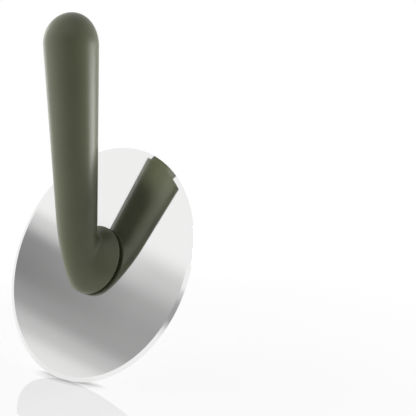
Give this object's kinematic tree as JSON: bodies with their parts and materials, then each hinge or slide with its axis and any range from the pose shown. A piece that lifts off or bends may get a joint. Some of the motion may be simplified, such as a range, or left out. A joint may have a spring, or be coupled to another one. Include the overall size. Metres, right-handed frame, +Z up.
{
  "type": "pizza knife",
  "caption": "Wheel-type pizza knife: a mirror-polished disc blade turns on a stub axle at the foot of a bent, tapered, round-ended matte handle that holds it from one side.",
  "frame": {"origin": "the middle of the grip, on the handle's axis, where a hand holds the knife", "axes": "+Z up along the handle's axis towards its round end, -Y to the side of the blade that carries the handle, X across; X = 0 is the plane of symmetry"},
  "size_m": [0.12, 0.0472, 0.1753],
  "materials": {
    "olive_skin": "fine matte moulded skin, olive green",
    "dark_nylon": "moulded glass-filled nylon, dark grey",
    "insert_brass": "turned, bare",
    "black_polymer": "smooth low-friction sheet, black",
    "mirror_steel": "stainless steel, mirror polished, with a ground bevel",
    "pale_polymer": "moulded acetal, off-white",
    "spring_steel": "rolled spring steel, dull",
    "brushed_steel": "stainless steel, brushed in rings"
  },
  "bodies": {
    "handle": {"handle_skin": "olive_skin", "handle_core": "dark_nylon", "core_plug": "dark_nylon", "axle_insert": "insert_brass", "axle_sleeve": "brushed_steel", "front_washer": "black_polymer", "wave_washer": "spring_steel", "back_washer": "brushed_steel", "axle_screw": "brushed_steel", "back_cap": "brushed_steel"},
    "wheel": {"blade": "mirror_steel", "blade_bush": "pale_polymer"}
  },
  "joints": [
    {"name": "blade_spin", "type": "hinge", "parent": "handle", "child": "wheel", "pos_m": [0, 0.01113, -0.06449], "axis": [0, -0.9272, 0.3746], "continuous": true}
  ]
}
